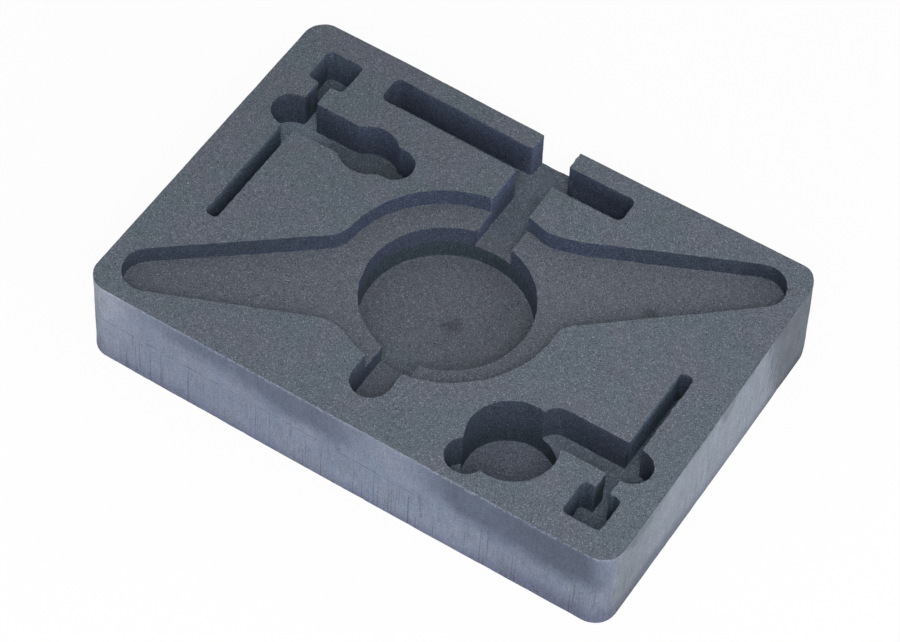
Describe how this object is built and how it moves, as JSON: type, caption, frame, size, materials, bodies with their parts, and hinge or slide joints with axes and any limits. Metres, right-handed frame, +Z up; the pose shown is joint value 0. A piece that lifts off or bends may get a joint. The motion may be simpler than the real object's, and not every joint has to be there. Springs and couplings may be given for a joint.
{
  "type": "tool foam insert",
  "caption": "Grey foam block for a tool case, with pockets milled from the top to three depths: a winged round seat, a cable channel, a straight slot and two handled-tool shapes.",
  "frame": {"origin": "centre of the block's flat bottom face", "axes": "+X along the length to the right, +Y to the back, where the cable channel leaves, +Z up"},
  "size_m": [0.4, 0.275, 0.074],
  "materials": {
    "foam": "matte cut closed-cell foam"
  },
  "bodies": {
    "root": {"foam_insert": "foam"}
  },
  "joints": []
}
